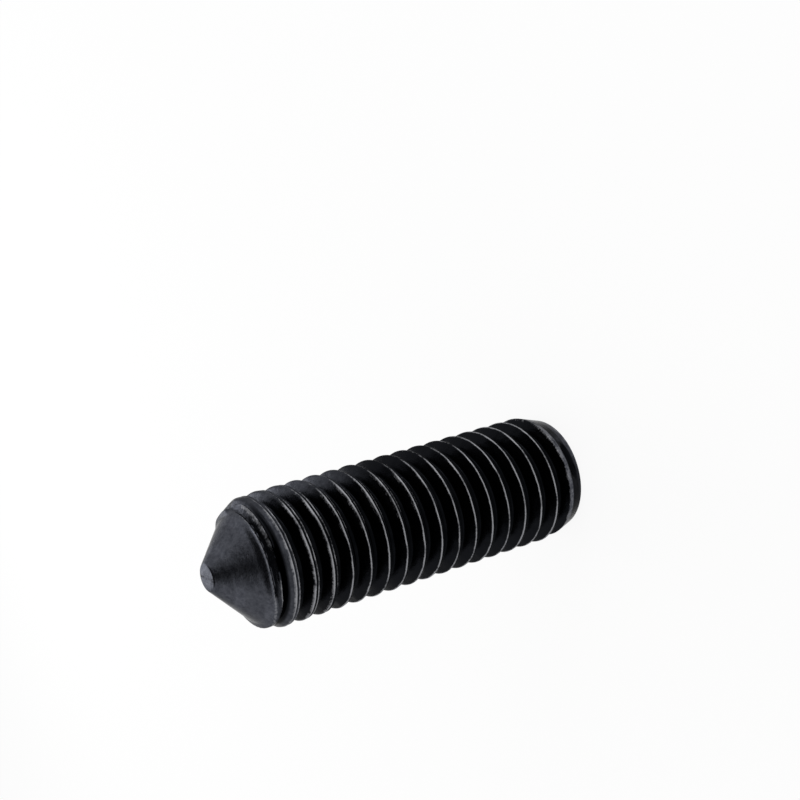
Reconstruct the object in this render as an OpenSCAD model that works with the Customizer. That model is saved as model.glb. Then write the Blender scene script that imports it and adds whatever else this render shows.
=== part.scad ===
// Hexagon socket set screw with a cone point, turned, rolled and broached from one rod.
// It stands on its socket end with the point up, and the origin is the middle of that end.

/* [Thread] */
// Nominal diameter of the thread
thread_d = 8; // [7:0.5:10]
// How far the crest stays inside the nominal diameter, on the radius
crest_drop = 0.08; // [0:0.01:0.12]
// Advance of the thread in one turn
thread_pitch = 1.25; // [1.1:0.05:1.5]
// Angle between the two flanks of the groove
thread_angle = 60; // [50:1:62]
// Depth of the groove, from crest to root
thread_depth = 0.7; // [0.5:0.01:0.74]
// Width of the flat on the crest
crest_flat = 0.2; // [0.1:0.01:0.24]

/* [Length] */
// From the ring on the socket end to the flat on the tip
screw_length = 24.5; // [16:0.5:30]

/* [Socket end] */
// Step from the crest in to the edge of the end ring, on the radius
rim_drop = 0.47; // [0.3:0.01:0.6]
// Height of the taper between the end ring and the full crest
taper_h = 1.5; // [0.8:0.1:2]
// Width of the flat ring that the screw stands on
rim_width = 0.5; // [0.3:0.05:0.6]

/* [Socket] */
// Distance across the flats of the hexagon
socket_af = 4.05; // [3:0.05:4.2]
// Depth of those flats, from the end ring
socket_depth = 5; // [3:0.1:8]
// Included angle of the countersink at the mouth
mouth_angle = 90; // [80:1:120]
// Included angle of the drilled bottom
drill_angle = 118; // [90:1:140]
// Step from the flats in to the edge of the drilled bottom
drill_inset = 0.05; // [0.02:0.01:0.2]

/* [Point] */
// Diameter of the flat on the tip
tip_d = 1.6; // [1:0.1:2.4]
// Included angle of the cone
point_angle = 92; // [85:1:100]
// Depth below the crest at which the cone gives way to its steeper shoulder
shoulder_drop = 0.53; // [0.3:0.01:0.7]
// Included angle of that shoulder
shoulder_angle = 120; // [102:1:140]

/* [Hidden] */

// Flat faces that one turn of the thread is made of, and sides of the turned rounds
turn_steps = 48;
round_steps = 96;

// How far a cutting shape reaches past what it cuts
overshoot = 0.5;

crest_r = thread_d / 2 - crest_drop;
root_r = crest_r - thread_depth;
flank_run = thread_depth * tan(thread_angle / 2);
rim_r = crest_r - rim_drop;
mouth_r = rim_r - rim_width;
tip_r = tip_d / 2;
shoulder_r = crest_r - shoulder_drop;

// Corners of one pitch of the thread: radius, and height above the foot of its crest
profile = [
    [crest_r, 0],
    [crest_r, crest_flat],
    [root_r, crest_flat + flank_run],
    [root_r, thread_pitch - flank_run],
];
corners = len(profile);

// The rod starts one turn below the screw and runs past its tip
rod_start = -thread_pitch;
turns = ceil(screw_length / thread_pitch) + 2;
last_step = turns * turn_steps;

function sweep_point(step, corner) =
    let (angle = 360 * step / turn_steps)
    let (climb = thread_pitch * step / turn_steps)
    [
        profile[corner][0] * cos(angle),
        profile[corner][0] * sin(angle),
        rod_start + climb + profile[corner][1],
    ];

// Place of a swept corner in the list of points
function at(step, corner) = step * corners + corner;

// A rod with the thread on it: one profile swept along a right-hand helix, and two end caps
module threaded_rod() {
    swept = [for (step = [0:last_step], corner = [0:corners - 1]) sweep_point(step, corner)];
    bottom_centre = len(swept);
    top_centre = bottom_centre + 1;
    rod_end = sweep_point(last_step, corners - 1)[2];

    crests_and_roots = [
        for (step = [0:last_step - 1], corner = [0:corners - 2])
            [at(step, corner), at(step, corner + 1), at(step + 1, corner + 1), at(step + 1, corner)]
    ];
    // The flank that joins each turn to the one above it
    turn_joins = [
        for (step = [0:last_step - turn_steps - 1])
            let (above = step + turn_steps)
            [at(step, corners - 1), at(above, 0), at(above + 1, 0), at(step + 1, corners - 1)]
    ];
    bottom_fan = [
        for (step = [0:turn_steps - 1])
            [bottom_centre, at(step, 0), at(step + 1, 0)]
    ];
    // The profile itself closes the gap that the helix leaves in each cap
    bottom_step = [
        bottom_centre,
        at(turn_steps, 0),
        for (corner = [corners - 1:-1:0]) at(0, corner),
    ];
    top_fan = [
        for (step = [last_step - turn_steps:last_step - 1])
            [top_centre, at(step + 1, corners - 1), at(step, corners - 1)]
    ];
    top_step = [
        top_centre,
        at(last_step - turn_steps, corners - 1),
        for (corner = [0:corners - 1]) at(last_step, corner),
    ];

    polyhedron(
        points = concat(swept, [[0, 0, rod_start], [0, 0, rod_end]]),
        faces = concat(
            crests_and_roots,
            turn_joins,
            bottom_fan,
            [bottom_step],
            top_fan,
            [top_step]
        )
    );
}

// The turned form that trims the rod: end ring, taper, body, shoulder, cone and tip
module turned_form() {
    body_r = crest_r + overshoot;
    taper_top = taper_h * (body_r - rim_r) / rim_drop;
    cone_foot = screw_length - (shoulder_r - tip_r) / tan(point_angle / 2);
    shoulder_foot = cone_foot - (body_r - shoulder_r) / tan(shoulder_angle / 2);
    rotate_extrude($fn = round_steps)
        polygon([
            [0, 0],
            [rim_r, 0],
            [body_r, taper_top],
            [body_r, shoulder_foot],
            [shoulder_r, cone_foot],
            [tip_r, screw_length],
            [0, screw_length],
        ]);
}

// What is cut out of the socket end: countersink, broached flats and drilled bottom
module socket_cut() {
    mouth_slope = tan(mouth_angle / 2);
    drill_r = socket_af / 2 - drill_inset;
    translate([0, 0, -overshoot]) {
        cylinder(r = socket_af / 2 / cos(30), h = socket_depth + overshoot, $fn = 6);
        cylinder(
            r1 = mouth_r + overshoot * mouth_slope,
            r2 = 0,
            h = overshoot + mouth_r / mouth_slope,
            $fn = round_steps
        );
    }
    translate([0, 0, socket_depth])
        cylinder(r1 = drill_r, r2 = 0, h = drill_r / tan(drill_angle / 2), $fn = round_steps);
}

module set_screw() {
    color("#26272b")
        difference() {
            intersection() {
                threaded_rod();
                turned_form();
            }
            socket_cut();
        }
}

set_screw();
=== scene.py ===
# %% [markdown]
# # A black set screw
# A set screw has no head. It is a short steel rod with a thread along its whole length, a hexagon
# socket in one end and a point on the other, and it is driven right into a hub to grip the shaft.
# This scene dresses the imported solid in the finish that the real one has. It starts by loading that
# solid as the frame, and measures it, so that everything below is as large as the solid says.

# %% Load the frame
import math

import bmesh
import bpy
from mathutils import Matrix, Vector


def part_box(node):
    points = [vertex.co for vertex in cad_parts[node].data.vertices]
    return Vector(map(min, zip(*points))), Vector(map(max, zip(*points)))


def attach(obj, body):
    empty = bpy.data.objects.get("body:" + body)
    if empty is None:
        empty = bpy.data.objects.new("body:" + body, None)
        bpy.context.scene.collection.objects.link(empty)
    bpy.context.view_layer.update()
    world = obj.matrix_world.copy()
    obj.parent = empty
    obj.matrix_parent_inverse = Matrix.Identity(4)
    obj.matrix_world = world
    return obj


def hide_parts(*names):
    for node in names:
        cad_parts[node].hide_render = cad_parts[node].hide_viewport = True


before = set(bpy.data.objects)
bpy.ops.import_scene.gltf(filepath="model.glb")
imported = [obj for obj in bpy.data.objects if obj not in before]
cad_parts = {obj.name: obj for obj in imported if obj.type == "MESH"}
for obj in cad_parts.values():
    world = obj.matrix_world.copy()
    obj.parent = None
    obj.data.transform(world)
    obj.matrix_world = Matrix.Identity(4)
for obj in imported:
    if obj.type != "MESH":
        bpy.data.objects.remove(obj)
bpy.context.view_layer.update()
MM = 0.001

top_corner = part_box("set_screw")[1]
crest_radius = top_corner[0]
screw_length = top_corner[2]
print(f"crest radius {crest_radius / MM:.2f} mm, length {screw_length / MM:.2f} mm")

# %% [markdown]
# ## Sizes
# A thread is known by its pitch, the advance in one turn. The rest of the screw is turned: the ring
# and taper of the socket end, and the cone of the point, whose foot flares out where the rolled
# steel was pushed over its shoulder. These are the same sizes that the solid was made with.

# %% Sizes of the screw
pitch = 1.25 * MM
groove_depth = 0.70 * MM
half_crest = 0.10 * MM
half_groove = pitch / 2

rim_radius = crest_radius - 0.47 * MM
taper_height = 1.5 * MM
ring_width = 0.5 * MM

tip_radius = 0.8 * MM
cone_half_angle = math.radians(46)
shoulder_radius = crest_radius - 0.53 * MM
shoulder_half_angle = math.radians(60)

hexagon_flats = 4.05 * MM
socket_depth = 5.0 * MM
drill_inset = 0.05 * MM
drill_half_angle = math.radians(59)
print(f"thread of {screw_length / pitch:.1f} turns")

# %% [markdown]
# ## One helper for every node tree
# A node tree is a list of nodes, each with settings of its own, and links between them. One small
# function is enough for all of them: it adds a node, sets it up, and fills its inputs with numbers
# or with what other nodes give.

# %% Add a node


def add(tree, kind, inputs=(), **settings):
    """Add a node. Its inputs, in order or by name, take numbers, sockets, or nodes for their output."""
    node = tree.nodes.new(kind)
    for name, value in settings.items():
        setattr(node, name, value)
    shown = [socket for socket in node.inputs if socket.enabled]
    named = {socket.name: socket for socket in reversed(shown)}
    pairs = inputs.items() if isinstance(inputs, dict) else enumerate(inputs)
    for place, value in pairs:
        socket = named[place] if isinstance(place, str) else shown[place]
        if isinstance(value, bpy.types.Node):
            value = next(output for output in value.outputs if output.enabled)
        if isinstance(value, bpy.types.NodeSocket):
            tree.links.new(value, socket)
        else:
            socket.default_value = value
    return node


def linear(hex_colour):
    """An sRGB colour such as #8a8c90 as the linear colour that a shader takes."""
    parts = [int(hex_colour[i : i + 2], 16) / 255 for i in (1, 3, 5)]
    return [c / 12.92 if c <= 0.04045 else ((c + 0.055) / 1.055) ** 2.4 for c in parts] + [1]


# %% [markdown]
# ## The finish
# Black oxide is a thin skin of magnetite that a hot salt bath grows on alloy steel, sealed with oil.
# It has no colour of its own beyond that of a dark mirror, so it is metal with a near-black shade.
# Four grades of it show. The rolled grooves were pressed smooth and stay deep black, and in the roots
# and behind the lips they are painted blacker still, as painted shade. The turned ends are greyer,
# because fine tool marks scatter light. Along the lips of the crests the skin is rubbed thin and
# steel shows. The thread's own nodes store where each grade is, along with painted shade, a painted
# highlight and painted grey on one side, and the shader mixes them.

# %% Colours and grain of the finish
skin_in_grooves = "#131417"
skin_on_turning = "#303239"
cloud_on_turning = "#5a5c63"
# The colour of rubbed steel, and of the painted highlight on the lips of one side
rubbed_steel_and_painted_highlight = "#909195"
# Painted shade: the black of the roots and of the trough behind the lips, for shade that falls there
painted_shade_skin = "#08090b"
# An oxide skin gains less than a clean mirror does at a low angle
low_angle_tint = "#c4c4c4"

# Grit of the tumbling barrel, 0.15 mm across, and clouds of the bath, 0.3 mm across
grit_per_mm = 6.5
cloud_per_mm = 3.4
grit_height = 0.003 * MM
cloud_height = 0.02 * MM
print(f"grit {1 / grit_per_mm:.2f} mm across, clouds {1 / cloud_per_mm:.2f} mm across")

# The wear at which the painted shade of the roots and behind the lips is full, and that at which steel
# begins to show and shows fully
painted_shade_wear = -0.6
steel_wear = 0.62, 1.08
grit_in_wear = 0.6
skin_roughness = 0.15, 0.32
scratch_roughness = 0.30

# %% Black oxide on alloy steel


def black_oxide_steel():
    """Oiled black oxide: a satin, nearly black metal, grey on the cut ends and worn lips, with painted
    shade and painted light where the thread stores them.
    """
    material = bpy.data.materials.new("black_oxide_steel")
    material.use_nodes = True
    tree = material.node_tree
    tree.nodes.clear()
    place = add(tree, "ShaderNodeTexCoord").outputs["Object"]
    in_mm = add(tree, "ShaderNodeVectorMath", [place, (1 / MM, 1 / MM, 1 / MM)], operation="MULTIPLY")
    grit = add(tree, "ShaderNodeTexNoise", {"Vector": in_mm, "Scale": grit_per_mm, "Detail": 1.5})
    cloud = {"Vector": in_mm, "Scale": cloud_per_mm, "Detail": 6.0, "Roughness": 0.7}
    cloud = add(tree, "ShaderNodeTexNoise", cloud)
    clouded = add(tree, "ShaderNodeMapRange", {"Value": cloud, "From Min": 0.25, "From Max": 0.75})

    # The stored masks hold painted light as well: painted shade, a painted shadow, a painted highlight and
    # painted grey
    turned = add(tree, "ShaderNodeAttribute", attribute_name="turned").outputs["Fac"]
    wear_and_painted_light = add(tree, "ShaderNodeAttribute", attribute_name="wear_and_painted_light").outputs["Fac"]
    turning = {"Factor": clouded, "A": linear(skin_on_turning), "B": linear(cloud_on_turning)}
    turning = add(tree, "ShaderNodeMix", turning, data_type="RGBA")
    skin = {"Factor": turned, "A": linear(skin_in_grooves), "B": turning}
    skin = add(tree, "ShaderNodeMix", skin, data_type="RGBA")
    # Painted shade behind the lips and in the root, where shade falls: there wear is below zero
    painted_shade = add(tree, "ShaderNodeMapRange", {"Value": wear_and_painted_light, "From Min": 0.0, "From Max": painted_shade_wear})
    skin = {"Factor": painted_shade, "A": skin, "B": linear(painted_shade_skin)}
    skin = add(tree, "ShaderNodeMix", skin, data_type="RGBA")
    # Wear breaks up into grains where it is light, and closes to a line where it is full
    grains = add(tree, "ShaderNodeMath", [grit, grit_in_wear, wear_and_painted_light], operation="MULTIPLY_ADD")
    # The painted highlight of one side takes this rubbed colour as well
    rubbed_and_highlight = {"Value": grains, "From Min": steel_wear[0], "From Max": steel_wear[1]}
    rubbed_and_highlight = add(tree, "ShaderNodeMapRange", rubbed_and_highlight)
    shade = {"Factor": rubbed_and_highlight, "A": skin, "B": linear(rubbed_steel_and_painted_highlight)}
    shade = add(tree, "ShaderNodeMix", shade, data_type="RGBA")

    # Scratches of rubbing scatter light, and the skin beside them is smoother
    rough = {"Value": grit, "To Min": skin_roughness[0], "To Max": skin_roughness[1]}
    rough = add(tree, "ShaderNodeMapRange", rough)
    rough = add(tree, "ShaderNodeMath", [rubbed_and_highlight, scratch_roughness, rough], operation="MULTIPLY_ADD")
    bump = add(tree, "ShaderNodeBump", {"Height": grit, "Strength": 0.5, "Distance": grit_height})
    bump = {"Height": cloud, "Strength": 0.6, "Distance": cloud_height, "Normal": bump}
    bump = add(tree, "ShaderNodeBump", bump)
    steel = {"Base Color": shade, "Metallic": 1.0, "Roughness": rough, "Normal": bump}
    steel["Specular Tint"] = linear(low_angle_tint)
    add(tree, "ShaderNodeOutputMaterial", [add(tree, "ShaderNodeBsdfPrincipled", steel)])
    return material


black_oxide = black_oxide_steel()
print("material", black_oxide.name)

# %% [markdown]
# ## The profile of the thread
# The thread is rolled, not cut: hard dies press the grooves in, and the steel between them rises from
# both sides until its two lips meet. So the crest isn't a plain flat. A fine seam runs along it, with
# a lip on each side, and the lips are what rubs against everything. Distances go from the crest's
# middle, towards the socket below zero and towards the point above it.

# %% One pitch of the thread: the groove as a share of its depth, and the seam in mm
groove_profile = [
    (-0.625, 1.000, "AUTO"),
    (-0.520, 0.993, "AUTO"),
    (-0.480, 0.936, "VECTOR"),
    (-0.220, 0.297, "VECTOR"),
    (-0.165, 0.157, "AUTO"),
    (-0.135, 0.070, "AUTO"),
    (-0.105, 0.020, "AUTO"),
    (-0.070, 0.003, "AUTO"),
    (0.050, 0.000, "AUTO"),
    (0.095, 0.021, "AUTO"),
    (0.130, 0.079, "AUTO"),
    (0.160, 0.147, "VECTOR"),
    (0.480, 0.936, "VECTOR"),
    (0.520, 0.993, "AUTO"),
    (0.625, 1.000, "AUTO"),
]
# By the point there was less steel to press: crests are blunt, and the last flank is gentle
blunt_groove_profile = groove_profile[:3] + [
    (-0.240, 0.300, "VECTOR"),
    (-0.205, 0.165, "AUTO"),
    (-0.180, 0.060, "AUTO"),
    (-0.140, 0.010, "AUTO"),
    (0.040, 0.000, "AUTO"),
    (0.100, 0.015, "AUTO"),
    (0.150, 0.060, "AUTO"),
    (0.200, 0.160, "AUTO"),
    (0.245, 0.300, "VECTOR"),
    (0.480, 0.936, "VECTOR"),
    (0.625, 1.000, "AUTO"),
]
last_groove_profile = blunt_groove_profile[:7] + [
    (0.040, 0.000, "AUTO"),
    (0.100, 0.015, "AUTO"),
    (0.160, 0.050, "AUTO"),
    (0.230, 0.130, "VECTOR"),
    (0.490, 0.460, "VECTOR"),
    (0.590, 0.920, "AUTO"),
    (0.625, 1.000, "AUTO"),
]
# The crest that ends on the cone is wide, with a steep wall
wide_groove_profile = [
    (-0.625, 1.000, "AUTO"),
    (-0.560, 0.960, "AUTO"),
    (-0.500, 0.800, "VECTOR"),
    (-0.400, 0.250, "VECTOR"),
    (-0.350, 0.060, "AUTO"),
    (-0.280, 0.000, "AUTO"),
] + groove_profile[8:]
seam_profile = [
    (-0.625, 0.000, "VECTOR"),
    (-0.185, 0.000, "AUTO"),
    (-0.155, 0.012, "AUTO"),
    (-0.090, 0.090, "AUTO"),
    (-0.060, 0.112, "AUTO"),
    (-0.030, 0.112, "AUTO"),
    (-0.008, 0.085, "AUTO"),
    (0.020, 0.018, "AUTO"),
    (0.045, 0.000, "AUTO"),
    (0.625, 0.000, "VECTOR"),
]
print(f"seam {max(depth for _, depth, _ in seam_profile):.2f} mm deep where it is fully open")

# %% The same pitch, as wear: full on the lip that faces the point, and below zero for painted shade in the root and behind the lip
wear_profile = [
    (-0.625, -0.50, "VECTOR"),
    (-0.400, -0.50, "AUTO"),
    (-0.240, -0.60, "AUTO"),
    (0.000, -0.60, "AUTO"),
    (0.030, -0.10, "AUTO"),
    (0.046, 0.28, "AUTO"),
    (0.064, 0.74, "AUTO"),
    (0.098, 0.74, "AUTO"),
    (0.122, 0.28, "AUTO"),
    (0.160, 0.04, "AUTO"),
    (0.240, 0.00, "AUTO"),
    (0.400, 0.00, "AUTO"),
    (0.520, -0.50, "AUTO"),
    (0.625, -0.50, "VECTOR"),
]
# What the lightening adds: a painted highlight on both lips of one side, and the same lightening all round
# on the turns by the point
lightening_profile = [
    (-0.625, 0.00, "VECTOR"),
    (-0.240, 0.00, "AUTO"),
    (-0.200, 1.20, "AUTO"),
    (-0.120, 1.20, "AUTO"),
    (-0.080, 0.20, "AUTO"),
    (0.020, 0.15, "AUTO"),
    (0.055, 0.15, "AUTO"),
    (0.090, 0.00, "AUTO"),
    (0.125, 0.26, "AUTO"),
    (0.165, 0.42, "AUTO"),
    (0.205, 0.26, "AUTO"),
    (0.260, 0.00, "AUTO"),
    (0.625, 0.00, "VECTOR"),
]
print(f"wear {max(wear_and_painted_light for _, wear_and_painted_light, _ in wear_profile)} on the lip that faces the point")

# %% How deep the groove is by its height on the screw, as a share: its two ends are shallower
run_in_reach = -1.0, 2.0
run_in_path = [
    (-1.00, 0.15, "VECTOR"),
    (0.42, 0.15, "AUTO"),
    (0.46, 0.50, "AUTO"),
    (0.51, 0.72, "AUTO"),
    (0.57, 0.55, "AUTO"),
    (0.63, 0.20, "AUTO"),
    (0.85, 0.20, "AUTO"),
    (1.30, 1.00, "AUTO"),
    (2.00, 1.00, "VECTOR"),
]
# How grey the turned steel beside the first crest is, by the same height
run_in_grey = [
    (-1.00, 0.15, "VECTOR"),
    (0.42, 0.15, "AUTO"),
    (0.50, 0.25, "AUTO"),
    (0.60, 0.65, "AUTO"),
    (1.00, 0.80, "AUTO"),
    (2.00, 0.80, "VECTOR"),
]
run_out_reach = 21.2, 22.4
run_out_path = [
    (21.20, 1.00, "VECTOR"),
    (21.67, 1.00, "AUTO"),
    (21.78, 0.38, "AUTO"),
    (21.97, 0.34, "AUTO"),
    (22.03, 0.86, "AUTO"),
    (22.10, 0.90, "AUTO"),
    (22.40, 0.90, "VECTOR"),
]
print(f"groove of full depth from {run_in_path[-2][0]} to {run_out_path[1][0]} mm")

# %% [markdown]
# At the foot of the cone there isn't enough steel to fill the last crests. They sink, and their two
# lips stay apart with an open crease between them: one lip rolls over the edge of the cone, and the
# other stands as a thin ridge over the last groove. The crease doesn't quite follow the helix.

# %% The lips beside the crease, as height over the cone in mm, by distance from the crease
lip_profile = [
    (-0.625, 0.00, "VECTOR"),
    (-0.330, 0.00, "AUTO"),
    (-0.200, 0.20, "AUTO"),
    (-0.120, 0.17, "AUTO"),
    (-0.080, 0.06, "AUTO"),
    (-0.045, -0.07, "AUTO"),
    (0.000, -0.13, "AUTO"),
    (0.045, -0.075, "AUTO"),
    (0.090, -0.025, "AUTO"),
    (0.150, 0.035, "AUTO"),
    (0.210, 0.055, "AUTO"),
    (0.300, 0.035, "AUTO"),
    (0.420, 0.00, "AUTO"),
    (0.625, 0.00, "VECTOR"),
]
# How grey they are, and how worn, each as a share
lip_grey = [
    (-0.625, 0.0, "VECTOR"),
    (-0.210, 0.2, "AUTO"),
    (-0.130, 0.9, "AUTO"),
    (-0.070, 0.1, "AUTO"),
    (0.010, 0.0, "AUTO"),
    (0.060, 0.6, "AUTO"),
    (0.110, 1.0, "AUTO"),
    (0.625, 1.0, "VECTOR"),
]
lip_wear = [
    (-0.625, 0.00, "VECTOR"),
    (-0.240, 0.00, "AUTO"),
    (-0.190, 0.50, "AUTO"),
    (-0.115, 0.60, "AUTO"),
    (-0.070, 0.05, "AUTO"),
    (0.020, 0.00, "AUTO"),
    (0.060, 0.42, "AUTO"),
    (0.140, 0.42, "AUTO"),
    (0.230, 0.05, "AUTO"),
    (0.625, 0.00, "VECTOR"),
]
print(f"lips {max(height for _, height, _ in lip_profile):.2f} mm over the cone at most")

# %% The way the crease takes, and how far the last crests sink, by the crest's height on the screw
last_crests = 21.2, 22.9
crease_path = [
    (21.20, 21.20, "VECTOR"),
    (21.99, 21.62, "AUTO"),
    (22.07, 21.72, "AUTO"),
    (22.16, 21.88, "AUTO"),
    (22.24, 22.03, "AUTO"),
    (22.31, 22.09, "AUTO"),
    (22.40, 22.11, "AUTO"),
    (22.48, 22.10, "AUTO"),
    (22.57, 22.07, "AUTO"),
    (22.90, 22.00, "VECTOR"),
]
sunk_path = [
    (21.20, -0.06, "VECTOR"),
    (21.27, -0.06, "AUTO"),
    (21.34, 0.02, "AUTO"),
    (21.385, 0.10, "AUTO"),
    (21.42, 0.25, "AUTO"),
    (21.455, 0.33, "AUTO"),
    (21.55, 0.35, "AUTO"),
    (21.90, 0.25, "AUTO"),
    (22.90, 0.20, "VECTOR"),
]
print(f"the crease climbs to {max(height for _, height, _ in crease_path)} mm")

# %% A curve through such points
# One pitch, from the middle of one groove to the middle of the next, in mm
pitch_reach = -0.625, 0.625


def curve_through(tree, value, points, reach, heights=(0.0, 1.0)):
    """A curve through points whose places are in mm. Reach and heights are its ends each way."""
    low, high = reach
    value = {"Value": value, "From Min": low * MM, "From Max": high * MM}
    node = add(tree, "ShaderNodeFloatCurve", {"Value": add(tree, "ShaderNodeMapRange", value)})
    curve = node.mapping.curves[0]
    while len(curve.points) < len(points):
        curve.points.new(0.5, 0.5)
    bottom, top = heights
    for point, (place, height, handle) in zip(curve.points, points):
        point.location = (place - low) / (high - low), (height - bottom) / (top - bottom)
        point.handle_type = handle
    node.mapping.update()
    return add(tree, "ShaderNodeMapRange", {"Value": node, "To Min": bottom, "To Max": top})


# %% [markdown]
# ## The turned form
# Small rounds help here: each corner of a profile is replaced by a short arc, because tumbling and
# handling leave no sharp edge on a real screw, and a rounded edge is what catches the light.

# %% Points of a small round between two straight lines


def rounded(before, corner, after, radius, steps=4):
    """Points that round the corner of a profile, each a radius and a height."""
    before, corner, after = Vector(before), Vector(corner), Vector(after)
    to_before = (before - corner).normalized()
    to_after = (after - corner).normalized()
    half = to_before.angle(to_after) / 2
    reach = radius / math.tan(half)
    centre = corner + (to_before + to_after).normalized() * radius / math.sin(half)
    start = corner + to_before * reach - centre
    end = corner + to_after * reach - centre
    arc = [start.slerp(end, i / steps).normalized() * radius for i in range(steps + 1)]
    return [tuple(centre + spoke) for spoke in arc]


# %% Sizes of the ends
rim_round = 0.025 * MM
tip_round = 0.16 * MM
mouth_round = 0.06 * MM
edge_round = 0.04 * MM

mouth_radius = rim_radius - ring_width
drill_radius = hexagon_flats / 2 - drill_inset
drill_end = socket_depth + drill_radius / math.tan(drill_half_angle)
cone_foot = screw_length - (shoulder_radius - tip_radius) / math.tan(cone_half_angle)

tip_corner = rounded(
    (tip_radius + MM * math.tan(cone_half_angle), screw_length - MM),
    (tip_radius, screw_length),
    (0, screw_length),
    tip_round,
)
mouth_corner = rounded(
    (mouth_radius + MM, 0),
    (mouth_radius, 0),
    (mouth_radius - MM, MM),
    mouth_round,
)
hexagon_edge = rounded((MM, -MM), (0, 0), (0, MM), edge_round)
print(f"cone foot at {cone_foot / MM:.2f} mm, drill ends at {drill_end / MM:.2f} mm")

# %% Radius of the turned ends at a height


def turned_form(tree, height):
    """The taper of the socket end, the shoulder below the cone, and the cone itself."""
    taper_slope = (crest_radius - rim_radius) / taper_height
    taper = add(tree, "ShaderNodeMath", [height, taper_slope, rim_radius], operation="MULTIPLY_ADD")
    cone = add(tree, "ShaderNodeMath", [screw_length, height], operation="SUBTRACT")
    cone_slope = math.tan(cone_half_angle)
    cone = add(tree, "ShaderNodeMath", [cone, cone_slope, tip_radius], operation="MULTIPLY_ADD")
    below_foot = add(tree, "ShaderNodeMath", [cone_foot, height], operation="SUBTRACT")
    flare = [below_foot, math.tan(shoulder_half_angle), shoulder_radius]
    flare = add(tree, "ShaderNodeMath", flare, operation="MULTIPLY_ADD")
    point = add(tree, "ShaderNodeMath", [cone, flare], operation="MAXIMUM")
    return add(tree, "ShaderNodeMath", [taper, point], operation="MINIMUM")


# %% [markdown]
# ## The thread, wound from a strip
# A thread could be a profile swept along a spiral curve, or a cylinder with a screw modifier. Both
# leave two raw ends that still have to be cut to the cone and the taper. Here the thread is a flat
# grid instead, as long as all the turns and as wide as one pitch. Each of its points knows its turn
# and its height, and nodes work out its radius from these: the rolled profile, or the turned form of
# the ends where that is smaller. Rows past an end are held at that end, where merging removes them.

# %% Where each point of the strip goes along the screw
# The strip starts some turns below the end ring, and has a few more turns than the screw
turns_below = 0.75
spare_turns = 1.6
# How much closer its rows stand at the crest, as a share
crowding = 0.5
print(f"strip of {screw_length / pitch + spare_turns:.1f} turns")


def turn_and_height(tree, steps, steps_per_turn, crest_pitch):
    """The part of a turn, from 0 to 1, and the height of each point of the strip."""
    flat = add(tree, "ShaderNodeSeparateXYZ", [add(tree, "GeometryNodeInputPosition")])
    along, across = flat.outputs["X"], flat.outputs["Y"]
    # The strip is centred on its own origin, and starts below the end ring
    start = steps / steps_per_turn / 2 - turns_below
    turn = add(tree, "ShaderNodeMath", [along, start], operation="ADD")
    part = add(tree, "ShaderNodeMath", [turn], operation="FRACT")
    # Rows stand closer together at the crest, where the lips and the seam are
    wave = add(tree, "ShaderNodeMath", [across, 2 * math.pi], operation="MULTIPLY")
    wave = add(tree, "ShaderNodeMath", [wave], operation="SINE")
    crowded = [wave, -crowding / (2 * math.pi), across]
    crowded = add(tree, "ShaderNodeMath", crowded, operation="MULTIPLY_ADD")
    rise = add(tree, "ShaderNodeMath", [turn, crowded], operation="ADD")
    height = add(tree, "ShaderNodeMath", [rise, crest_pitch, half_crest], operation="MULTIPLY_ADD")
    return part, add(tree, "ShaderNodeClamp", [height, rim_round, tip_corner[0][1]])


# %% How far each point is from the middle of its crest
lean_at_ring = 0.05 * MM
lean_height = 3 * MM


def from_crest(tree, part, height, crest_pitch):
    """Distance from the middle of the nearest crest, and that crest's own height."""
    # The crest leans a little towards the middle of the screw in the turns by the end ring
    lean = {"Value": height, "From Max": lean_height}
    lean |= {"To Min": half_crest + lean_at_ring, "To Max": half_crest}
    lean = add(tree, "ShaderNodeMapRange", lean, interpolation_type="SMOOTHSTEP")
    turns_up = add(tree, "ShaderNodeMath", [height, lean], operation="SUBTRACT")
    turns_up = add(tree, "ShaderNodeMath", [turns_up, crest_pitch], operation="DIVIDE")
    past = add(tree, "ShaderNodeMath", [turns_up, part], operation="SUBTRACT")
    nearest = add(tree, "ShaderNodeMath", [past], operation="ROUND")
    past = add(tree, "ShaderNodeMath", [past, nearest], operation="SUBTRACT")
    across = add(tree, "ShaderNodeMath", [past, crest_pitch], operation="MULTIPLY")
    return across, add(tree, "ShaderNodeMath", [height, across], operation="SUBTRACT")


# %% A soft change between two heights


def between(tree, height, start, full):
    """0 up to the start and 1 from the full height on, both in mm. Full may be the lower of them."""
    span = {"Value": height, "From Min": start * MM, "From Max": full * MM}
    return add(tree, "ShaderNodeMapRange", span, interpolation_type="SMOOTHSTEP")


# %% The blunt lump on the cone that the crest ends in
lump_middle = 22.18 * MM
lump_height = 0.19
lump_grey = 0.1
# Each span has its start and the place where it is full, in mm
lump_half_width = 0.18, 0.02
lump_start = 22.61, 22.65
lump_stop = 22.775, 22.745
print(f"lump {lump_height} mm high, {lump_stop[0] - lump_start[0]:.3f} mm of rise along the crest")


def lump_at(tree, height, crest_height):
    """1 on the lump and 0 off it."""
    away = add(tree, "ShaderNodeMath", [height, lump_middle], operation="SUBTRACT")
    away = add(tree, "ShaderNodeMath", [away], operation="ABSOLUTE")
    across = between(tree, away, *lump_half_width)
    starts = between(tree, crest_height, *lump_start)
    stops = between(tree, crest_height, *lump_stop)
    lump = add(tree, "ShaderNodeMath", [starts, stops], operation="MULTIPLY")
    return add(tree, "ShaderNodeMath", [lump, across], operation="MULTIPLY")


# %% The open lips at the foot of the cone
lips_begin = 21.75, 21.92
lips_end = 22.66, 22.54
# The lip on the ridge lies below the crease, and along a part of its way it loses most of its wear as
# painted shade
ridge_side = -0.03, -0.09
ridge_shade_middle = 22.305 * MM
ridge_shade_half_length = 0.07, 0.02
ridge_shade_share = 0.8


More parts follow.
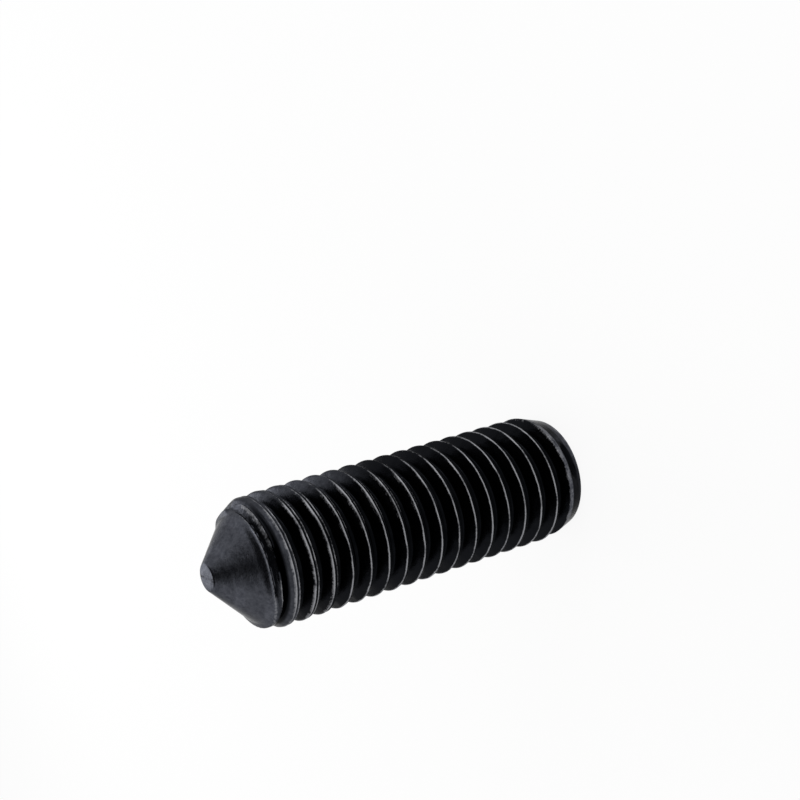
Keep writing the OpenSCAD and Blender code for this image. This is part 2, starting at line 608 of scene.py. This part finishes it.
def wear_kept_under_painted_shade(tree, past_crease, crest_height):
    """The share that each point of the lips keeps, less on a part of the ridge where shade is painted."""
    shaded_part = add(tree, "ShaderNodeMath", [crest_height, ridge_shade_middle], operation="SUBTRACT")
    shaded_part = add(tree, "ShaderNodeMath", [shaded_part], operation="ABSOLUTE")
    shaded_part = between(tree, shaded_part, *ridge_shade_half_length)
    on_ridge = between(tree, past_crease, *ridge_side)
    shaded_part = add(tree, "ShaderNodeMath", [shaded_part, on_ridge], operation="MULTIPLY")
    return add(tree, "ShaderNodeMath", [shaded_part, -ridge_shade_share, 1.0], operation="MULTIPLY_ADD")


def open_lips(tree, height, crest_height):
    """Height of the lips over the cone in mm, how grey they are, and how worn."""
    crease = curve_through(tree, crest_height, crease_path, last_crests, (21.2, 22.3))
    crease = add(tree, "ShaderNodeMath", [crease, MM], operation="MULTIPLY")
    past_crease = add(tree, "ShaderNodeMath", [height, crease], operation="SUBTRACT")
    lips = curve_through(tree, past_crease, lip_profile, pitch_reach, (-0.25, 0.25))
    grey = curve_through(tree, past_crease, lip_grey, pitch_reach)
    worn = curve_through(tree, past_crease, lip_wear, pitch_reach)
    begins = between(tree, crest_height, *lips_begin)
    ends = between(tree, crest_height, *lips_end)
    shown = add(tree, "ShaderNodeMath", [begins, ends], operation="MULTIPLY")
    lips = add(tree, "ShaderNodeMath", [lips, shown], operation="MULTIPLY")
    # Painted shade: on a part of the ridge its wear is mostly taken out
    left_after_shade = wear_kept_under_painted_shade(tree, past_crease, crest_height)
    worn = add(tree, "ShaderNodeMath", [worn, shown], operation="MULTIPLY")
    worn = add(tree, "ShaderNodeMath", [worn, left_after_shade], operation="MULTIPLY")
    # Below zero off the lips, so that the larger of this and the thread's own wear is the thread's
    off_lips = add(tree, "ShaderNodeMath", [shown, 1.0], operation="SUBTRACT")
    worn = add(tree, "ShaderNodeMath", [worn, off_lips], operation="ADD")

    lump = lump_at(tree, height, crest_height)
    raised = add(tree, "ShaderNodeMath", [lump, lump_height, lips], operation="MULTIPLY_ADD")
    grey = add(tree, "ShaderNodeMix", [shown, 1.0, grey], data_type="FLOAT")
    grey = add(tree, "ShaderNodeMix", [lump, grey, lump_grey], data_type="FLOAT")
    return raised, grey, worn


# %% How deep the thread is at a point
blunt_crests = 17.95, 18.35
gentle_flank = 20.35, 20.70
wide_crest = 21.34, 21.41
grey_flanks = 0.14, 0.24
sunk_blend = 0.05 * MM
print(f"crests are blunt from {blunt_crests[0]} mm up, and wide from {wide_crest[0]} mm up")


def thread_depth(tree, sizes, across, crest_height, opening):
    """Depth below the crest, and how grey the turned steel beside the first crest is."""
    side = add(tree, "ShaderNodeMath", [across], operation="SIGN")
    groove_height = [side, half_groove, crest_height]
    groove_height = add(tree, "ShaderNodeMath", groove_height, operation="MULTIPLY_ADD")
    run_in = curve_through(tree, groove_height, run_in_path, run_in_reach)
    run_out = curve_through(tree, groove_height, run_out_path, run_out_reach)
    share = add(tree, "ShaderNodeMath", [run_in, run_out], operation="MULTIPLY")
    share = add(tree, "ShaderNodeMath", [share, sizes["Groove depth"]], operation="MULTIPLY")

    groove = curve_through(tree, across, groove_profile, pitch_reach)
    for profile, span in (
        (blunt_groove_profile, blunt_crests),
        (last_groove_profile, gentle_flank),
        (wide_groove_profile, wide_crest),
    ):
        share_of_it = between(tree, crest_height, *span)
        profile = curve_through(tree, across, profile, pitch_reach)
        groove = add(tree, "ShaderNodeMix", [share_of_it, groove, profile], data_type="FLOAT")
    seam = curve_through(tree, across, seam_profile, pitch_reach)
    seam = add(tree, "ShaderNodeMath", [seam, MM], operation="MULTIPLY")
    seam = add(tree, "ShaderNodeMath", [seam, opening], operation="MULTIPLY")
    depth = add(tree, "ShaderNodeMath", [groove, share, seam], operation="MULTIPLY_ADD")

    sunk = curve_through(tree, crest_height, sunk_path, last_crests, (-0.1, 0.3))
    sunk = add(tree, "ShaderNodeMath", [sunk, MM], operation="MULTIPLY")
    depth = add(tree, "ShaderNodeMath", [depth, sunk, sunk_blend], operation="SMOOTH_MAX")

    grey = curve_through(tree, groove_height, run_in_grey, run_in_reach)
    beside = add(tree, "ShaderNodeMath", [across], operation="ABSOLUTE")
    beside = between(tree, beside, *grey_flanks)
    return depth, add(tree, "ShaderNodeMix", [beside, 1.0, grey], data_type="FLOAT")


# %% One side of the screw
# The side facing this way has a painted shadow on its crest lines, and painted grey on its flanks by the
# point
painted_light_way = math.cos(math.radians(22)), math.sin(math.radians(22)), 0.0
# The side whose lips get a painted highlight
painted_highlight_way = math.cos(math.radians(-52)), math.sin(math.radians(-52)), 0.0
painted_light_cosines = 0.45, 0.92
painted_highlight_cosines = 0.80, 0.97


def side_of(tree, spoke, way, start, full):
    """1 on the side that faces this way and 0 away from it, by the cosine between the two."""
    facing = add(tree, "ShaderNodeVectorMath", [spoke, way], operation="DOT_PRODUCT")
    facing = {"Value": facing, "From Min": start, "From Max": full}
    return add(tree, "ShaderNodeMapRange", facing, interpolation_type="SMOOTHSTEP")


# %% Where the thread is worn
# Lips are lighter all round by the point, and the painted highlight of one side shows from this height up
lightened_by_point = 17.6, 18.6
painted_highlight_up = 6, 14
first_crest_width = 0.28, 0.14
first_crest_up = 1.9, 1.5
first_crest_wear = 0.42
# The share of wear that the painted shadow takes from the lips on its side
painted_shade_share = 0.65
print(f"a sheltered lip keeps {1 - painted_shade_share:.2f} of its wear")


def thread_wear_and_painted_light(tree, spoke, across, height, painted_light_side, uneven):
    """Wear of the lips with painted light: a painted shadow on one side, a painted highlight on another,
    and lighter lips by the point.
    """
    lips = curve_through(tree, across, wear_profile, pitch_reach, (-1.0, 1.0))
    lightening = curve_through(tree, across, lightening_profile, pitch_reach, (0.0, 1.3))
    by_point = between(tree, height, *lightened_by_point)
    # Painted highlight on the lips of one side, and lighter lips all round by the point
    lightened_lips = side_of(tree, spoke, painted_highlight_way, *painted_highlight_cosines)
    up = between(tree, height, *painted_highlight_up)
    lightened_lips = add(tree, "ShaderNodeMath", [lightened_lips, up], operation="MULTIPLY")
    lightened_lips = add(tree, "ShaderNodeMath", [lightened_lips, by_point], operation="MAXIMUM")
    wear_and_painted_light = add(tree, "ShaderNodeMath", [lightening, lightened_lips, lips], operation="MULTIPLY_ADD")
    # The first crest by the socket is rubbed over its whole width
    beside = add(tree, "ShaderNodeMath", [across], operation="ABSOLUTE")
    first = [between(tree, beside, *first_crest_width), between(tree, height, *first_crest_up)]
    first = add(tree, "ShaderNodeMath", first, operation="MULTIPLY")
    wear_and_painted_light = add(tree, "ShaderNodeMix", [first, wear_and_painted_light, first_crest_wear], data_type="FLOAT")
    # The lips are rubbed more in some places than in others
    rubbing = {"Value": uneven, "From Min": 0.40, "From Max": 0.60, "To Min": 1.25, "To Max": 0.72}
    rubbing = add(tree, "ShaderNodeMapRange", rubbing)
    wear_and_painted_light = add(tree, "ShaderNodeMath", [wear_and_painted_light, rubbing], operation="MULTIPLY")
    # Painted shadow: the lips on one side keep only part of their wear
    left = add(tree, "ShaderNodeMath", [painted_light_side, -painted_shade_share, 1.0], operation="MULTIPLY_ADD")
    return add(tree, "ShaderNodeMath", [wear_and_painted_light, left], operation="MULTIPLY")


# %% Where worn lips show on turned steel, and where rolled steel is grey, partly as painted light
rubbed_by_socket = 2.5, 1.8
rubbed_share = 0.9
# Painted light: by the point, the side with the painted shadow has greyer flanks
painted_grey_by_point = 13, 17
painted_grey_share = 0.60
last_crest_width = 0.42, 0.30
last_crest_up = 20.55, 20.75
last_crest_grey = 0.55


def lips_shown(tree, cut, height):
    """1 where the thread was rolled, and close to it by the socket also where it was turned."""
    by_socket = between(tree, height, *rubbed_by_socket)
    rolled = add(tree, "ShaderNodeMath", [1.0, cut], operation="SUBTRACT")
    rolled = [by_socket, rubbed_share, rolled]
    return add(tree, "ShaderNodeMath", rolled, operation="MULTIPLY_ADD", use_clamp=True)


def greyer_crests(tree, turned, height, across, crest_height, painted_light_side):
    """How grey the surface looks: the cut ends, painted light on one side of the crests by the point, and
    the last crest.
    """
    # Painted light: the turns by the point are greyer on the side of the painted shadow
    painted_grey = between(tree, height, *painted_grey_by_point)
    painted_grey = add(tree, "ShaderNodeMath", [painted_grey, painted_grey_share], operation="MULTIPLY")
    painted_grey = add(tree, "ShaderNodeMath", [painted_grey, painted_light_side], operation="MULTIPLY")
    turned = add(tree, "ShaderNodeMath", [turned, painted_grey], operation="MAXIMUM")
    # The last crest is greyer over its whole width
    beside = add(tree, "ShaderNodeMath", [across], operation="ABSOLUTE")
    last = [between(tree, beside, *last_crest_width), between(tree, crest_height, *last_crest_up)]
    last = add(tree, "ShaderNodeMath", last, operation="MULTIPLY")
    last = add(tree, "ShaderNodeMath", [last, last_crest_grey], operation="MULTIPLY")
    return add(tree, "ShaderNodeMath", [turned, last], operation="MAXIMUM")


# %% Noise that runs along the thread


def unevenness(tree, spoke, height, seed):
    """Noise of about 1 mm, from 0 to 1, as the steel filled the dies more or less."""
    around = {"Vector": spoke, "Scale": crest_radius / MM}
    around = add(tree, "ShaderNodeVectorMath", around, operation="SCALE")
    up = add(tree, "ShaderNodeMath", [height, MM], operation="DIVIDE")
    up = add(tree, "ShaderNodeCombineXYZ", {"Z": up})
    around = add(tree, "ShaderNodeVectorMath", [around, up], operation="ADD")
    uneven = {"Vector": around, "W": seed, "Scale": 1.0, "Detail": 4.0}
    return add(tree, "ShaderNodeTexNoise", uneven, noise_dimensions="4D")


# %% Wind the strip into a thread
seam_waver = 0.12 * MM
# Heights over which the painted shadow of one side comes in
painted_light_up = 4, 9


def wound_strip(tree, sizes, steps_per_turn, rows):
    """A strip of one pitch's width, wound into a thread and trimmed by the turned form."""
    steps = round((screw_length / pitch + spare_turns) * steps_per_turn)
    grid = {"Size X": steps / steps_per_turn, "Size Y": 1.0}
    grid |= {"Vertices X": steps + 1, "Vertices Y": rows + 1}
    strip = add(tree, "GeometryNodeMeshGrid", grid)
    part, height = turn_and_height(tree, steps, steps_per_turn, sizes["Pitch"])
    across, crest_height = from_crest(tree, part, height, sizes["Pitch"])

    angle = add(tree, "ShaderNodeMath", [part, 2 * math.pi], operation="MULTIPLY")
    cosine = add(tree, "ShaderNodeMath", [angle], operation="COSINE")
    sine = add(tree, "ShaderNodeMath", [angle], operation="SINE")
    spoke = add(tree, "ShaderNodeCombineXYZ", [cosine, sine, 0.0])
    uneven = unevenness(tree, spoke, height, sizes["Seed"])

    # The seam opens and closes along the crest, and wavers a little
    opening = {"Value": uneven, "From Min": 0.38, "From Max": 0.62, "To Min": 0.4, "To Max": 1.1}
    opening = add(tree, "ShaderNodeMapRange", opening)
    waver = add(tree, "ShaderNodeMath", [uneven, 0.5], operation="SUBTRACT")
    wavy = add(tree, "ShaderNodeMath", [waver, seam_waver, across], operation="MULTIPLY_ADD")
    depth, run_in = thread_depth(tree, sizes, wavy, crest_height, opening)
    # The side with a painted shadow on its crest lines and painted grey by the point
    painted_light_side = side_of(tree, spoke, painted_light_way, *painted_light_cosines)
    up = between(tree, height, *painted_light_up)
    painted_light_side = add(tree, "ShaderNodeMath", [painted_light_side, up], operation="MULTIPLY")
    thread = add(tree, "ShaderNodeMath", [sizes["Crest radius"], depth], operation="SUBTRACT")

    raised, grey, lips_worn = open_lips(tree, height, crest_height)
    form = add(tree, "ShaderNodeMath", [raised, MM, turned_form(tree, height)], operation="MULTIPLY_ADD")
    radius = add(tree, "ShaderNodeMath", [thread, form, sizes["Blend"]], operation="SMOOTH_MIN")
    place = add(tree, "ShaderNodeVectorMath", {"Vector": spoke, "Scale": radius}, operation="SCALE")
    lift = add(tree, "ShaderNodeCombineXYZ", {"Z": height})
    place = add(tree, "ShaderNodeVectorMath", [place, lift], operation="ADD")

    # Where the form is the smaller, the surface was turned, and where the thread is, it was rolled
    over = add(tree, "ShaderNodeMath", [thread, form], operation="SUBTRACT")
    cut = {"Value": over, "From Min": -0.01 * MM, "From Max": 0.05 * MM}
    cut = add(tree, "ShaderNodeMapRange", cut)
    turned = add(tree, "ShaderNodeMath", [cut, grey], operation="MULTIPLY")
    turned = add(tree, "ShaderNodeMath", [turned, run_in], operation="MULTIPLY")
    turned = greyer_crests(tree, turned, height, across, crest_height, painted_light_side)

    wear_and_painted_light = thread_wear_and_painted_light(tree, spoke, wavy, height, painted_light_side, uneven)
    wear_and_painted_light = add(tree, "ShaderNodeMath", [wear_and_painted_light, lips_shown(tree, cut, height)], operation="MULTIPLY")
    wear_and_painted_light = add(tree, "ShaderNodeMath", [wear_and_painted_light, lips_worn], operation="MAXIMUM")

    # The finish and its painted light are stored while the strip is flat, because its nodes read the flat
    # places
    for name, value in (("turned", turned), ("wear_and_painted_light", wear_and_painted_light)):
        stored = {"Geometry": strip, "Name": name, "Value": value}
        strip = add(tree, "GeometryNodeStoreNamedAttribute", stored, data_type="FLOAT", domain="POINT")
    wound = add(tree, "GeometryNodeSetPosition", {"Geometry": strip, "Position": place})
    return add(tree, "GeometryNodeMergeByDistance", {"Geometry": wound, "Distance": 0.002 * MM})


# %% [markdown]
# ## The ends, drawn in ring by ring
# The wound strip has two open edges. Each is closed by a chain of rings, every ring being the last
# one extruded and moved: to the flat of the tip at the top, and at the bottom over the end ring, down
# the countersink and into the hexagon socket. So the whole screw stays one closed skin.

# %% Draw an open edge in, ring by ring


def draw_in(tree, surface, edge, rings):
    """Extrude an open edge through rings, each a radius and a height that are numbers or nodes."""
    here = add(tree, "GeometryNodeInputPosition")
    outward = add(tree, "ShaderNodeVectorMath", [here, (1, 1, 0)], operation="MULTIPLY")
    outward = add(tree, "ShaderNodeVectorMath", [outward], operation="NORMALIZE")
    for radius, height in rings:
        extrude = {"Mesh": surface, "Selection": edge, "Offset Scale": 0.0}
        ring = add(tree, "GeometryNodeExtrudeMesh", extrude, mode="EDGES")
        spread = add(tree, "ShaderNodeVectorMath", {"Vector": outward, "Scale": radius}, operation="SCALE")
        lift = add(tree, "ShaderNodeCombineXYZ", {"Z": height})
        place = add(tree, "ShaderNodeVectorMath", [spread, lift], operation="ADD")
        moved = {"Geometry": ring.outputs["Mesh"], "Selection": ring.outputs["Top"], "Position": place}
        surface = add(tree, "GeometryNodeSetPosition", moved)
        edge = ring.outputs["Top"]
        stored = {"Geometry": surface, "Selection": edge, "Name": "turned", "Value": 1.0}
        surface = add(tree, "GeometryNodeStoreNamedAttribute", stored, data_type="FLOAT", domain="POINT")
    return surface


def open_edge(tree, compare):
    """The open edge above or below the screw's middle."""
    faces = add(tree, "GeometryNodeInputMeshEdgeNeighbors")
    alone = add(tree, "FunctionNodeCompare", [faces, 1], data_type="INT", operation="EQUAL")
    height = add(tree, "ShaderNodeSeparateXYZ", [add(tree, "GeometryNodeInputPosition")]).outputs["Z"]
    side = add(tree, "FunctionNodeCompare", [height, screw_length / 2], operation=compare)
    return add(tree, "FunctionNodeBooleanMath", [alone, side], operation="AND")


# %% Rings of the socket end


def hexagon_reach(tree):
    """Distance from the axis to the side of the hexagon, in the direction of each point."""
    xy = add(tree, "ShaderNodeSeparateXYZ", [add(tree, "GeometryNodeInputPosition")])
    angle = add(tree, "ShaderNodeMath", [xy.outputs["Y"], xy.outputs["X"]], operation="ARCTAN2")
    sixth = math.pi / 3
    within = add(tree, "ShaderNodeMath", [angle, sixth], operation="FLOORED_MODULO")
    within = add(tree, "ShaderNodeMath", [within, sixth / 2], operation="SUBTRACT")
    cosine = add(tree, "ShaderNodeMath", [within], operation="COSINE")
    return add(tree, "ShaderNodeMath", [hexagon_flats / 2, cosine], operation="DIVIDE")


def socket_rings(tree):
    """Rings over the end ring, down the countersink, and into the hexagon and its drilled bottom."""
    here = add(tree, "GeometryNodeInputPosition")
    flat = add(tree, "ShaderNodeVectorMath", [here, (1, 1, 0)], operation="MULTIPLY")
    reach = add(tree, "ShaderNodeVectorMath", [flat], operation="LENGTH")
    rim_edge = add(tree, "ShaderNodeMath", [reach, 0.3 * rim_round], operation="SUBTRACT")
    rim_face = add(tree, "ShaderNodeMath", [reach, 0.7 * rim_round], operation="SUBTRACT")
    rings = [(rim_edge, 0.3 * rim_round), (rim_face, 0.0)]
    rings += mouth_corner

    hexagon = hexagon_reach(tree)
    hexagon_top = add(tree, "ShaderNodeMath", [mouth_radius, hexagon], operation="SUBTRACT")
    for step_in, step_up in hexagon_edge:
        radius = add(tree, "ShaderNodeMath", [hexagon, step_in], operation="ADD")
        height = add(tree, "ShaderNodeMath", [hexagon_top, step_up], operation="ADD")
        rings.append((radius, height))
    rings.append((hexagon, socket_depth))
    rings.append((drill_radius, socket_depth))
    rings.append((0.0, drill_end))
    return rings


# %% The whole tree


def thread_tree(sizes):
    """The node tree that makes the screw, with one named input for each of its sizes."""
    tree = bpy.data.node_groups.new("set_screw_thread", "GeometryNodeTree")
    tree.interface.new_socket("Geometry", in_out="OUTPUT", socket_type="NodeSocketGeometry")
    for name in sizes:
        tree.interface.new_socket(name, in_out="INPUT", socket_type="NodeSocketFloat")
    inputs = add(tree, "NodeGroupInput").outputs

    surface = wound_strip(tree, inputs, steps_per_turn=126, rows=36)
    surface = draw_in(tree, surface, open_edge(tree, "LESS_THAN"), socket_rings(tree))
    flat_of_tip = tip_corner[1:] + [(tip_radius / 2, screw_length), (0.0, screw_length)]
    surface = draw_in(tree, surface, open_edge(tree, "GREATER_THAN"), flat_of_tip)
    surface = add(tree, "GeometryNodeMergeByDistance", {"Geometry": surface, "Distance": 0.001 * MM})

    surface = add(tree, "GeometryNodeSetShadeSmooth", {"Geometry": surface, "Shade Smooth": True})
    bend = add(tree, "GeometryNodeInputMeshEdgeAngle").outputs["Unsigned Angle"]
    crisp = add(tree, "FunctionNodeCompare", [bend, math.radians(50)], operation="GREATER_THAN")
    crisp = {"Geometry": surface, "Selection": crisp, "Shade Smooth": False}
    surface = add(tree, "GeometryNodeSetShadeSmooth", crisp, domain="EDGE")

    surface = add(tree, "GeometryNodeRealizeInstances", [surface])
    surface = add(tree, "GeometryNodeSetMaterial", {"Geometry": surface, "Material": black_oxide})
    add(tree, "NodeGroupOutput", [surface])
    return tree


def baked(name, tree, sizes):
    """A plain mesh of what the tree makes with these sizes."""
    maker = bpy.data.objects.new(name + "_maker", bpy.data.meshes.new(name + "_maker"))
    bpy.context.collection.objects.link(maker)
    modifier = maker.modifiers.new("thread", "NODES")
    modifier.node_group = tree
    for socket in tree.interface.items_tree:
        if socket.in_out == "INPUT":
            modifier[socket.identifier] = sizes[socket.name]
    shown = maker.evaluated_get(bpy.context.evaluated_depsgraph_get())
    mesh = bpy.data.meshes.new_from_object(shown)
    mesh.name = name
    bpy.data.objects.remove(maker)
    piece = bpy.data.objects.new(name, mesh)
    bpy.context.collection.objects.link(piece)
    return piece


thread_sizes = {
    "Pitch": pitch,
    "Crest radius": crest_radius,
    "Groove depth": groove_depth,
    "Blend": 0.02 * MM,
    "Seed": 3.0,
}
screw = baked("set_screw_steel", thread_tree(thread_sizes), thread_sizes)

# %% Turn the faces outwards, and measure the screw
shell = bmesh.new()
shell.from_mesh(screw.data)
bmesh.ops.recalc_face_normals(shell, faces=shell.faces)
open_edges = sum(1 for edge in shell.edges if len(edge.link_faces) < 2)
# In four places the two sides of a root lie a few thousandths of a millimetre too far apart to
# merge. Drawing in the open edge takes them to the tip too, as slivers inside the steel.
sliver_edges = sum(1 for edge in shell.edges if len(edge.link_faces) > 2)
volume = shell.calc_volume(signed=True)
shell.to_mesh(screw.data)
shell.free()
triangles = sum(len(face.vertices) - 2 for face in screw.data.polygons)
print(f"screw of {triangles} triangles, {volume / MM**3:.1f} mm3")
print(f"{open_edges} open edges, {sliver_edges} edges on slivers")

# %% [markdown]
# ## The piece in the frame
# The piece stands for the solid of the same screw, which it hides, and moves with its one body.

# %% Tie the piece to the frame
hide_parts("set_screw")
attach(screw, "root")

# %% [markdown]
# ## The studio
# The screw stands on a pale floor that runs out to white. Metal shows what is around it, so the
# white is also what its reflections see. The lamps are wide and soft, and each is given as the
# brightness of its face, where 1 is white paper.

# %% What the camera and mirrors see


def seen_or_mirrored(tree):
    """1 for what the camera sees, itself or in a mirror, and 0 for the light that falls on things."""
    path = add(tree, "ShaderNodeLightPath").outputs
    seen = add(tree, "ShaderNodeMath", [path["Is Camera Ray"], path["Is Glossy Ray"]], operation="MAXIMUM")
    return add(tree, "ShaderNodeMath", [seen, path["Is Transmission Ray"]], operation="MAXIMUM")


# %% The floor
floor_radius = 600 * MM
floor_paper = "#f2f2f2"
white_paper = "#ffffff"
# The floor shows this share of plain white, and the rest is paper that takes the screw's shadow
floor_white = 0.9


def pale_floor():
    """A round floor that runs out to white."""
    mesh = bpy.data.meshes.new("floor")
    circle = bmesh.new()
    bmesh.ops.create_circle(circle, cap_ends=True, radius=floor_radius, segments=96)
    circle.to_mesh(mesh)
    circle.free()
    floor = bpy.data.objects.new("floor", mesh)
    bpy.context.collection.objects.link(floor)
    material = bpy.data.materials.new("pale_floor")
    material.use_nodes = True
    tree = material.node_tree
    tree.nodes.clear()
    paper = add(tree, "ShaderNodeBsdfDiffuse", {"Color": linear(floor_paper)})
    white = add(tree, "ShaderNodeEmission", {"Color": linear(white_paper), "Strength": 1.0})
    share = add(tree, "ShaderNodeMath", [seen_or_mirrored(tree), floor_white], operation="MULTIPLY")
    both = add(tree, "ShaderNodeMixShader", [share, paper, white])
    add(tree, "ShaderNodeOutputMaterial", [both])
    mesh.materials.append(material)
    return floor


floor = pale_floor()
print(f"floor {2 * floor_radius:.1f} m across")

# %% The surroundings
# The light that the room throws on things, where 1 is that of white paper
room_light = 0.8
# The room is white but for its ceiling over the point, where no lamp hangs, and the camera's boom.
# Each has its direction, the cosines where it starts and is fully dark, and the light left in it.
dark_ceiling = Vector((-0.04, 0.16, 0.985)), 0.765, 0.815, 0.03
dark_boom = Vector((0.03, -0.50, 0.865)), 0.950, 0.988, 0.30


def white_walls(tree):
    """Brightness of the room each way, for what the camera or a mirror sees."""
    way = add(tree, "ShaderNodeTexCoord").outputs["Generated"]
    walls = 1.0
    for dark_way, start, full, left in (dark_ceiling, dark_boom):
        dark_way = tuple(dark_way.normalized())
        towards = add(tree, "ShaderNodeVectorMath", [way, dark_way], operation="DOT_PRODUCT")
        lit = {"Value": towards, "From Min": start, "From Max": full, "To Min": 1.0, "To Max": left}
        lit = add(tree, "ShaderNodeMapRange", lit, interpolation_type="SMOOTHSTEP")
        walls = add(tree, "ShaderNodeMath", [lit, walls], operation="MULTIPLY")
    return walls


world = bpy.data.worlds.new("white_surroundings")
world.use_nodes = True
bpy.context.scene.world = world
tree = world.node_tree
tree.nodes.clear()
strength = {"Value": seen_or_mirrored(tree), "To Min": room_light, "To Max": white_walls(tree)}
strength = add(tree, "ShaderNodeMapRange", strength)
white = add(tree, "ShaderNodeBackground", {"Color": linear(white_paper), "Strength": strength})
add(tree, "ShaderNodeOutputWorld", [white])
print("world", world.name)

# %% Lamps


def soft_lamp(name, way, size, brightness, distance):
    """A square lamp with a face of this brightness, out this way from the screw's middle."""
    lamp = bpy.data.lights.new(name, "AREA")
    lamp.shape = "SQUARE"
    lamp.size = size
    lamp.energy = brightness * math.pi * size**2
    thing = bpy.data.objects.new(name, lamp)
    bpy.context.collection.objects.link(thing)
    way = Vector(way).normalized()
    thing.location = Vector((0, 0, screw_length / 2)) + way * distance
    thing.rotation_euler = (-way).to_track_quat("-Z", "Y").to_euler()
    return thing


lamp_distance = 110 * MM
key = soft_lamp("key", (0.89, -0.25, 0.38), 40 * MM, 3.0, lamp_distance)
back = soft_lamp("back", (0.05, 0.90, 0.40), 60 * MM, 2.4, lamp_distance)
for lamp in (key, back):
    print(f"{lamp.name} lamp of {lamp.data.energy / MM:.1f} mW")

# %% [markdown]
# ## The camera
# The photograph was taken from above the point, with the camera turned so that the screw lies
# across the picture. Its place and lens were fitted to the outline and the crest lines.

# %% Camera
view_azimuth = math.radians(8.027)
view_elevation = math.radians(32.578)
view_roll = math.radians(-104.676)
view_point = Vector((6.784, 0.954, 9.189)) * MM
view_distance = 100.53 * MM

lens = bpy.data.cameras.new("camera")
lens.lens = 74.707
lens.sensor_width = 36
lens.clip_start = 0.005
lens.clip_end = 5
camera = bpy.data.objects.new("camera", lens)
bpy.context.collection.objects.link(camera)
aim = (
    Matrix.Rotation(view_azimuth, 4, "Z")
    @ Matrix.Rotation(math.pi / 2 - view_elevation, 4, "X")
    @ Matrix.Rotation(view_roll, 4, "Z")
)
camera.matrix_world = Matrix.Translation(view_point) @ aim @ Matrix.Translation((0, 0, view_distance))
bpy.context.scene.camera = camera
bpy.context.scene.view_settings.view_transform = "Standard"
print("camera at", [round(c / MM, 2) for c in camera.matrix_world.translation], "mm")
